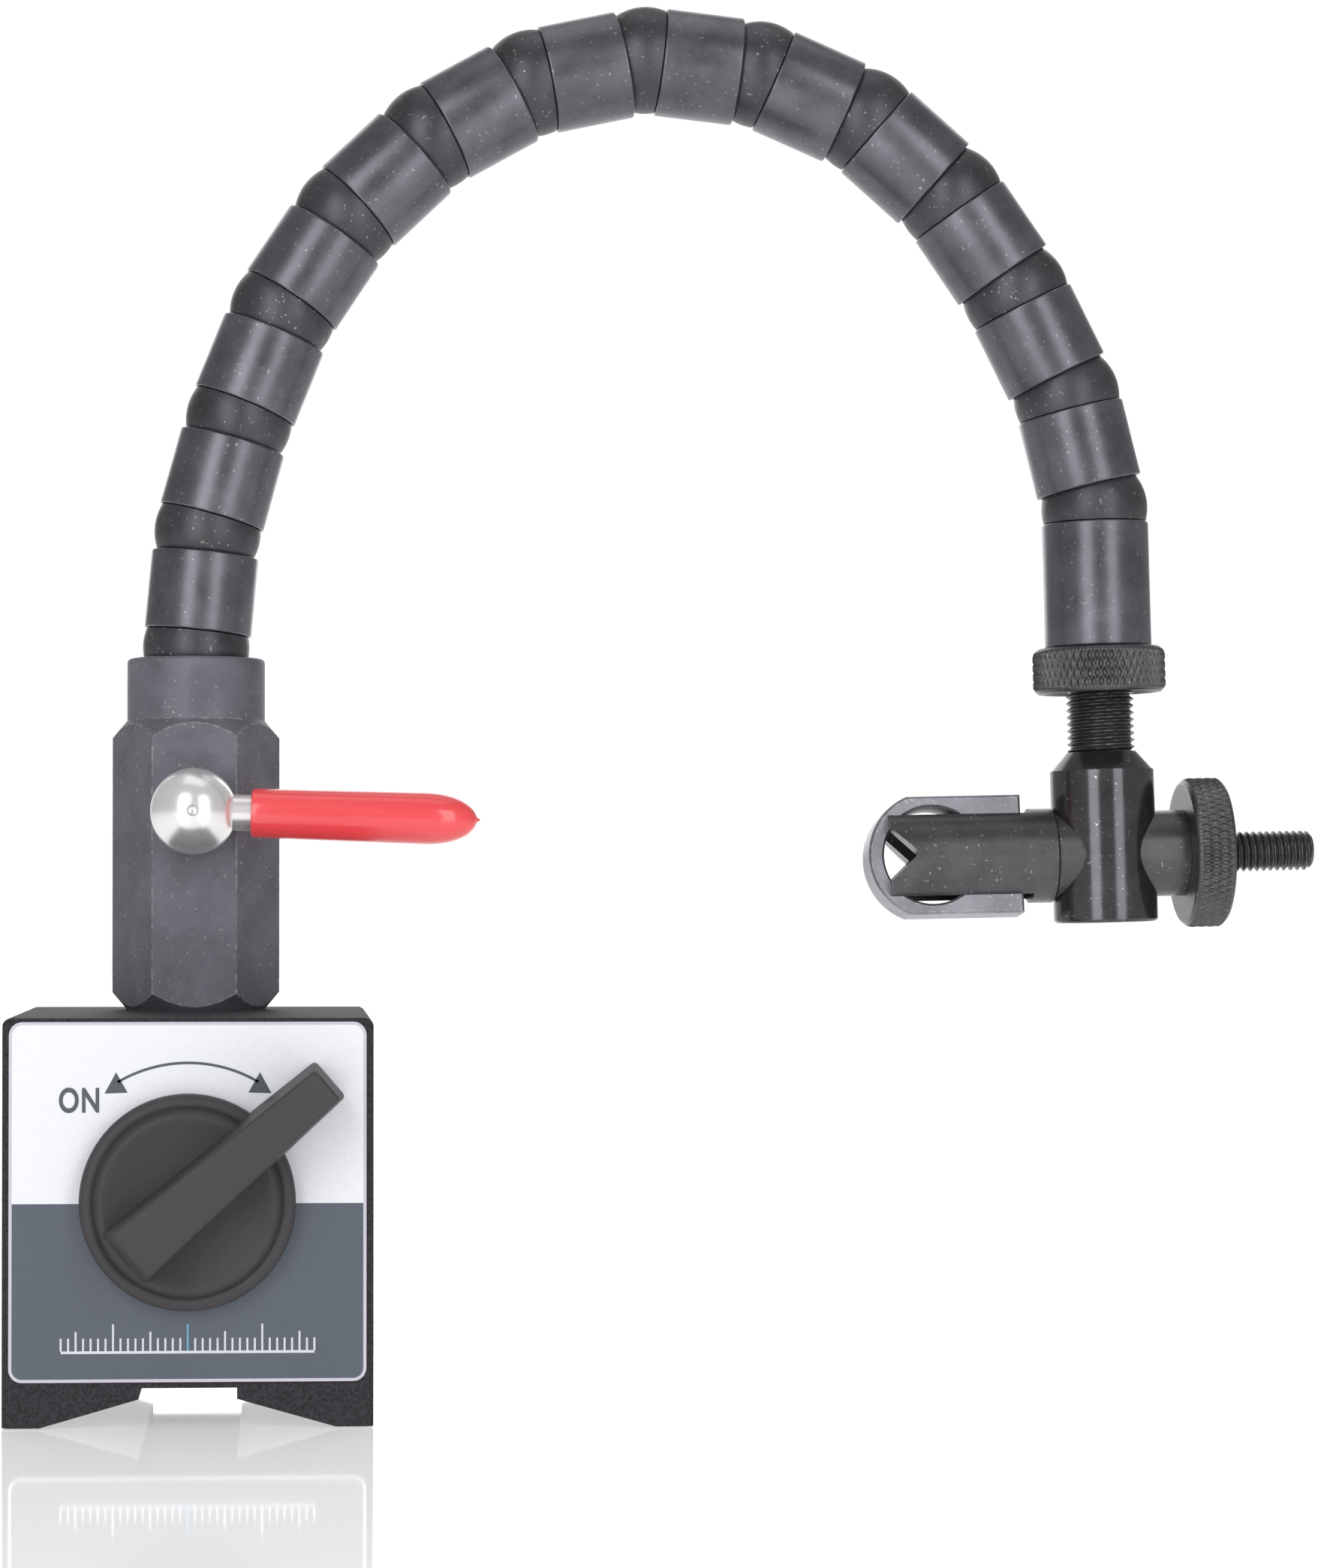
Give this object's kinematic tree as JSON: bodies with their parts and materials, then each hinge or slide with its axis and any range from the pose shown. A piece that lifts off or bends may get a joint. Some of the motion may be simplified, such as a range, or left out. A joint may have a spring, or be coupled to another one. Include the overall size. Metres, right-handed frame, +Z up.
{
  "type": "magnetic indicator base",
  "caption": "Switchable magnetic base with hexagonal column, cable-locked ball and sleeve arm and an indicator clamp with knurled nut.",
  "frame": {"origin": "centre of the magnetic base sole, on the surface it stands on", "axes": "+X right as seen from the label, towards the clamp; +Y to the rear; +Z up"},
  "size_m": [0.1895, 0.0735, 0.2022],
  "materials": {
    "black_wrinkle_paint": "wrinkle paint",
    "label_print": "gloss printed label",
    "knob_plastic": "moulded matte plastic",
    "black_oxide_steel": "black oxide, satin",
    "dark_clamp_steel": "black oxide, turned",
    "eye_steel": "grey phosphate",
    "chrome": "polished",
    "red_vinyl": "dipped vinyl",
    "spacer_brass": "milled",
    "magnet_ferrite": "ground",
    "plain_steel": "bright steel"
  },
  "bodies": {
    "base": {"pole_left": "black_wrinkle_paint", "pole_right": "black_wrinkle_paint", "spacer_upper": "spacer_brass", "spacer_lower": "spacer_brass", "tie_pins": "plain_steel", "front_bearing_plate": "spacer_brass", "rotor_stop_pin": "plain_steel", "rear_cover": "black_wrinkle_paint", "rear_cover_screws": "plain_steel", "label_plate": "label_print", "column_stud": "plain_steel", "hex_column": "black_oxide_steel", "steel_cable": "plain_steel"},
    "switch": {"rotor_magnet": "magnet_ferrite", "rotor_shaft": "plain_steel", "switch_knob": "knob_plastic", "knob_screw": "plain_steel"},
    "lock_lever": {"cam_shaft": "chrome", "lever_rod": "chrome", "lever_grip": "red_vinyl"},
    "pull_block": {"pull_block": "plain_steel", "cable_ferrule_lower": "plain_steel", "disc_springs": "plain_steel"},
    "link_01_ball": {"ball_01": "black_oxide_steel"},
    "link_01_sleeve": {"sleeve_01": "black_oxide_steel"},
    "link_02_ball": {"ball_02": "black_oxide_steel"},
    "link_02_sleeve": {"sleeve_02": "black_oxide_steel"},
    "link_03_ball": {"ball_03": "black_oxide_steel"},
    "link_03_sleeve": {"sleeve_03": "black_oxide_steel"},
    "link_04_ball": {"ball_04": "black_oxide_steel"},
    "link_04_sleeve": {"sleeve_04": "black_oxide_steel"},
    "link_05_ball": {"ball_05": "black_oxide_steel"},
    "link_05_sleeve": {"sleeve_05": "black_oxide_steel"},
    "link_06_ball": {"ball_06": "black_oxide_steel"},
    "link_06_sleeve": {"sleeve_06": "black_oxide_steel"},
    "link_07_ball": {"ball_07": "black_oxide_steel"},
    "link_07_sleeve": {"sleeve_07": "black_oxide_steel"},
    "link_08_ball": {"ball_08": "black_oxide_steel"},
    "link_08_sleeve": {"sleeve_08": "black_oxide_steel"},
    "link_09_ball": {"ball_09": "black_oxide_steel"},
    "link_09_sleeve": {"sleeve_09": "black_oxide_steel"},
    "link_10_ball": {"ball_10": "black_oxide_steel"},
    "link_10_sleeve": {"sleeve_10": "black_oxide_steel"},
    "link_11_ball": {"ball_11": "black_oxide_steel"},
    "link_11_sleeve": {"sleeve_11": "black_oxide_steel"},
    "link_12_ball": {"ball_12": "black_oxide_steel"},
    "link_12_sleeve": {"sleeve_12": "black_oxide_steel"},
    "link_13_ball": {"ball_13": "black_oxide_steel"},
    "link_13_sleeve": {"sleeve_13": "black_oxide_steel"},
    "link_14_ball": {"ball_14": "black_oxide_steel", "end_sleeve": "black_oxide_steel", "cable_ferrule_tip": "plain_steel"},
    "knuckle": {"knuckle_body": "dark_clamp_steel", "knuckle_stud": "dark_clamp_steel", "lock_pad": "spacer_brass"},
    "lock_ring": {"lock_ring": "dark_clamp_steel"},
    "clamp_head": {"clamp_barrel": "dark_clamp_steel"},
    "draw_bar": {"draw_rod": "dark_clamp_steel", "eye_plate": "eye_steel"},
    "wheel_nut": {"wheel_nut": "dark_clamp_steel"}
  },
  "joints": [
    {"name": "switch_turn", "type": "hinge", "parent": "base", "child": "switch", "pos_m": [0, 0, 0.0304], "axis": [0, 1, 0], "range_deg": [-98, 0]},
    {"name": "lever_turn", "type": "hinge", "parent": "base", "child": "lock_lever", "pos_m": [0, 0, 0.0835], "axis": [0, 1, 0], "range_deg": [-60, 40]},
    {"name": "pull_slide", "type": "slide", "parent": "base", "child": "pull_block", "axis": [0, 0, 1], "range_m": [-0.00072, 0.00108]},
    {"name": "bend_01", "type": "hinge", "parent": "base", "child": "link_01_ball", "pos_m": [0, 0.014, 0.1077], "axis": [0, 1, 0], "range_deg": [-24.5, 13.5], "deforming": ["steel_cable"]},
    {"name": "twist_01", "type": "hinge", "parent": "link_01_ball", "child": "link_01_sleeve", "pos_m": [0, 0.014, 0.1077], "axis": [0.0958, 0, 0.9954], "range_deg": [-12, 12]},
    {"name": "bend_02", "type": "hinge", "parent": "link_01_sleeve", "child": "link_02_ball", "pos_m": [0.00163, 0.014, 0.12462], "axis": [0, 1, 0], "range_deg": [-29, 9]},
    {"name": "twist_02", "type": "hinge", "parent": "link_02_ball", "child": "link_02_sleeve", "pos_m": [0.00163, 0.014, 0.12462], "axis": [0.2672, 0, 0.9636], "range_deg": [-12, 12]},
    {"name": "bend_03", "type": "hinge", "parent": "link_02_sleeve", "child": "link_03_ball", "pos_m": [0.00617, 0.014, 0.141], "axis": [0, 1, 0], "range_deg": [-25.5, 12.5]},
    {"name": "twist_03", "type": "hinge", "parent": "link_03_ball", "child": "link_03_sleeve", "pos_m": [0.00617, 0.014, 0.141], "axis": [0.3746, 0, 0.9272], "range_deg": [-12, 12]},
    {"name": "bend_04", "type": "hinge", "parent": "link_03_sleeve", "child": "link_04_ball", "pos_m": [0.01254, 0.014, 0.15677], "axis": [0, 1, 0], "range_deg": [-30.5, 7.5]},
    {"name": "twist_04", "type": "hinge", "parent": "link_04_ball", "child": "link_04_sleeve", "pos_m": [0.01254, 0.014, 0.15677], "axis": [0.5519, 0, 0.8339], "range_deg": [-12, 12]},
    {"name": "bend_05", "type": "hinge", "parent": "link_04_sleeve", "child": "link_05_ball", "pos_m": [0.02192, 0.014, 0.17094], "axis": [0, 1, 0], "range_deg": [-32, 6]},
    {"name": "twist_05", "type": "hinge", "parent": "link_05_ball", "child": "link_05_sleeve", "pos_m": [0.02192, 0.014, 0.17094], "axis": [0.7254, 0, 0.6884], "range_deg": [-12, 12]},
    {"name": "bend_06", "type": "hinge", "parent": "link_05_sleeve", "child": "link_06_ball", "pos_m": [0.03426, 0.014, 0.18264], "axis": [0, 1, 0], "range_deg": [-33.5, 4.5]},
    {"name": "twist_06", "type": "hinge", "parent": "link_06_ball", "child": "link_06_sleeve", "pos_m": [0.03426, 0.014, 0.18264], "axis": [0.8746, 0, 0.4848], "range_deg": [-12, 12]},
    {"name": "bend_07", "type": "hinge", "parent": "link_06_sleeve", "child": "link_07_ball", "pos_m": [0.04912, 0.014, 0.19088], "axis": [0, 1, 0], "range_deg": [-36, 2]},
    {"name": "twist_07", "type": "hinge", "parent": "link_07_ball", "child": "link_07_sleeve", "pos_m": [0.04912, 0.014, 0.19088], "axis": [0.9781, 0, 0.2079], "range_deg": [-12, 12]},
    {"name": "bend_08", "type": "hinge", "parent": "link_07_sleeve", "child": "link_08_ball", "pos_m": [0.06575, 0.014, 0.19442], "axis": [0, 1, 0], "range_deg": [-37.5, 0.5]},
    {"name": "twist_08", "type": "hinge", "parent": "link_08_ball", "child": "link_08_sleeve", "pos_m": [0.06575, 0.014, 0.19442], "axis": [0.9936, 0, -0.1132], "range_deg": [-12, 12]},
    {"name": "bend_09", "type": "hinge", "parent": "link_08_sleeve", "child": "link_09_ball", "pos_m": [0.08264, 0.014, 0.19249], "axis": [0, 1, 0], "range_deg": [-36, 2]},
    {"name": "twist_09", "type": "hinge", "parent": "link_09_ball", "child": "link_09_sleeve", "pos_m": [0.08264, 0.014, 0.19249], "axis": [0.9171, 0, -0.3987], "range_deg": [-12, 12]},
    {"name": "bend_10", "type": "hinge", "parent": "link_09_sleeve", "child": "link_10_ball", "pos_m": [0.09823, 0.014, 0.18572], "axis": [0, 1, 0], "range_deg": [-37, 1]},
    {"name": "twist_10", "type": "hinge", "parent": "link_10_ball", "child": "link_10_sleeve", "pos_m": [0.09823, 0.014, 0.18572], "axis": [0.749, 0, -0.6626], "range_deg": [-12, 12]},
    {"name": "bend_11", "type": "hinge", "parent": "link_10_sleeve", "child": "link_11_ball", "pos_m": [0.11096, 0.014, 0.17445], "axis": [0, 1, 0], "range_deg": [-33, 5]},
    {"name": "twist_11", "type": "hinge", "parent": "link_11_ball", "child": "link_11_sleeve", "pos_m": [0.11096, 0.014, 0.17445], "axis": [0.5664, 0, -0.8241], "range_deg": [-12, 12]},
    {"name": "bend_12", "type": "hinge", "parent": "link_11_sleeve", "child": "link_12_ball", "pos_m": [0.12059, 0.014, 0.16044], "axis": [0, 1, 0], "range_deg": [-27, 11]},
    {"name": "twist_12", "type": "hinge", "parent": "link_12_ball", "child": "link_12_sleeve", "pos_m": [0.12059, 0.014, 0.16044], "axis": [0.4462, 0, -0.8949], "range_deg": [-12, 12]},
    {"name": "bend_13", "type": "hinge", "parent": "link_12_sleeve", "child": "link_13_ball", "pos_m": [0.12818, 0.014, 0.14523], "axis": [0, 1, 0], "range_deg": [-31.5, 6.5]},
    {"name": "twist_13", "type": "hinge", "parent": "link_13_ball", "child": "link_13_sleeve", "pos_m": [0.12818, 0.014, 0.14523], "axis": [0.2419, 0, -0.9703], "range_deg": [-12, 12]},
    {"name": "bend_14", "type": "hinge", "parent": "link_13_sleeve", "child": "link_14_ball", "pos_m": [0.13229, 0.014, 0.12873], "axis": [0, 1, 0], "range_deg": [-31.5, 6.5]},
    {"name": "knuckle_turn", "type": "hinge", "parent": "link_14_ball", "child": "knuckle", "pos_m": [0.13229, 0.014, 0.12873], "axis": [0.0262, 0, -0.9997], "range_deg": [-180, 180]},
    {"name": "lock_ring_turn", "type": "hinge", "parent": "knuckle", "child": "lock_ring", "pos_m": [0.13229, 0.014, 0.12873], "axis": [0.0262, 0, -0.9997], "range_deg": [-180, 180]},
    {"name": "clamp_turn", "type": "hinge", "parent": "knuckle", "child": "clamp_head", "pos_m": [0.13363, 0.014, 0.07765], "axis": [0.9998, 0, 0.0209], "continuous": true},
    {"name": "wheel_turn", "type": "hinge", "parent": "clamp_head", "child": "wheel_nut", "pos_m": [0.13363, 0.014, 0.07765], "axis": [0.9998, 0, 0.0209], "range_deg": [-1080, 360]},
    {"name": "draw_slide", "type": "slide", "parent": "clamp_head", "child": "draw_bar", "axis": [0.9998, 0, 0.0209], "range_m": [-0.003, 0.001]}
  ],
  "couplings": [
    {"joint": "lever_turn", "follows": "pull_slide", "rad_per_m": -970.87},
    {"joint": "wheel_turn", "follows": "draw_slide", "rad_per_m": 6283.2}
  ]
}
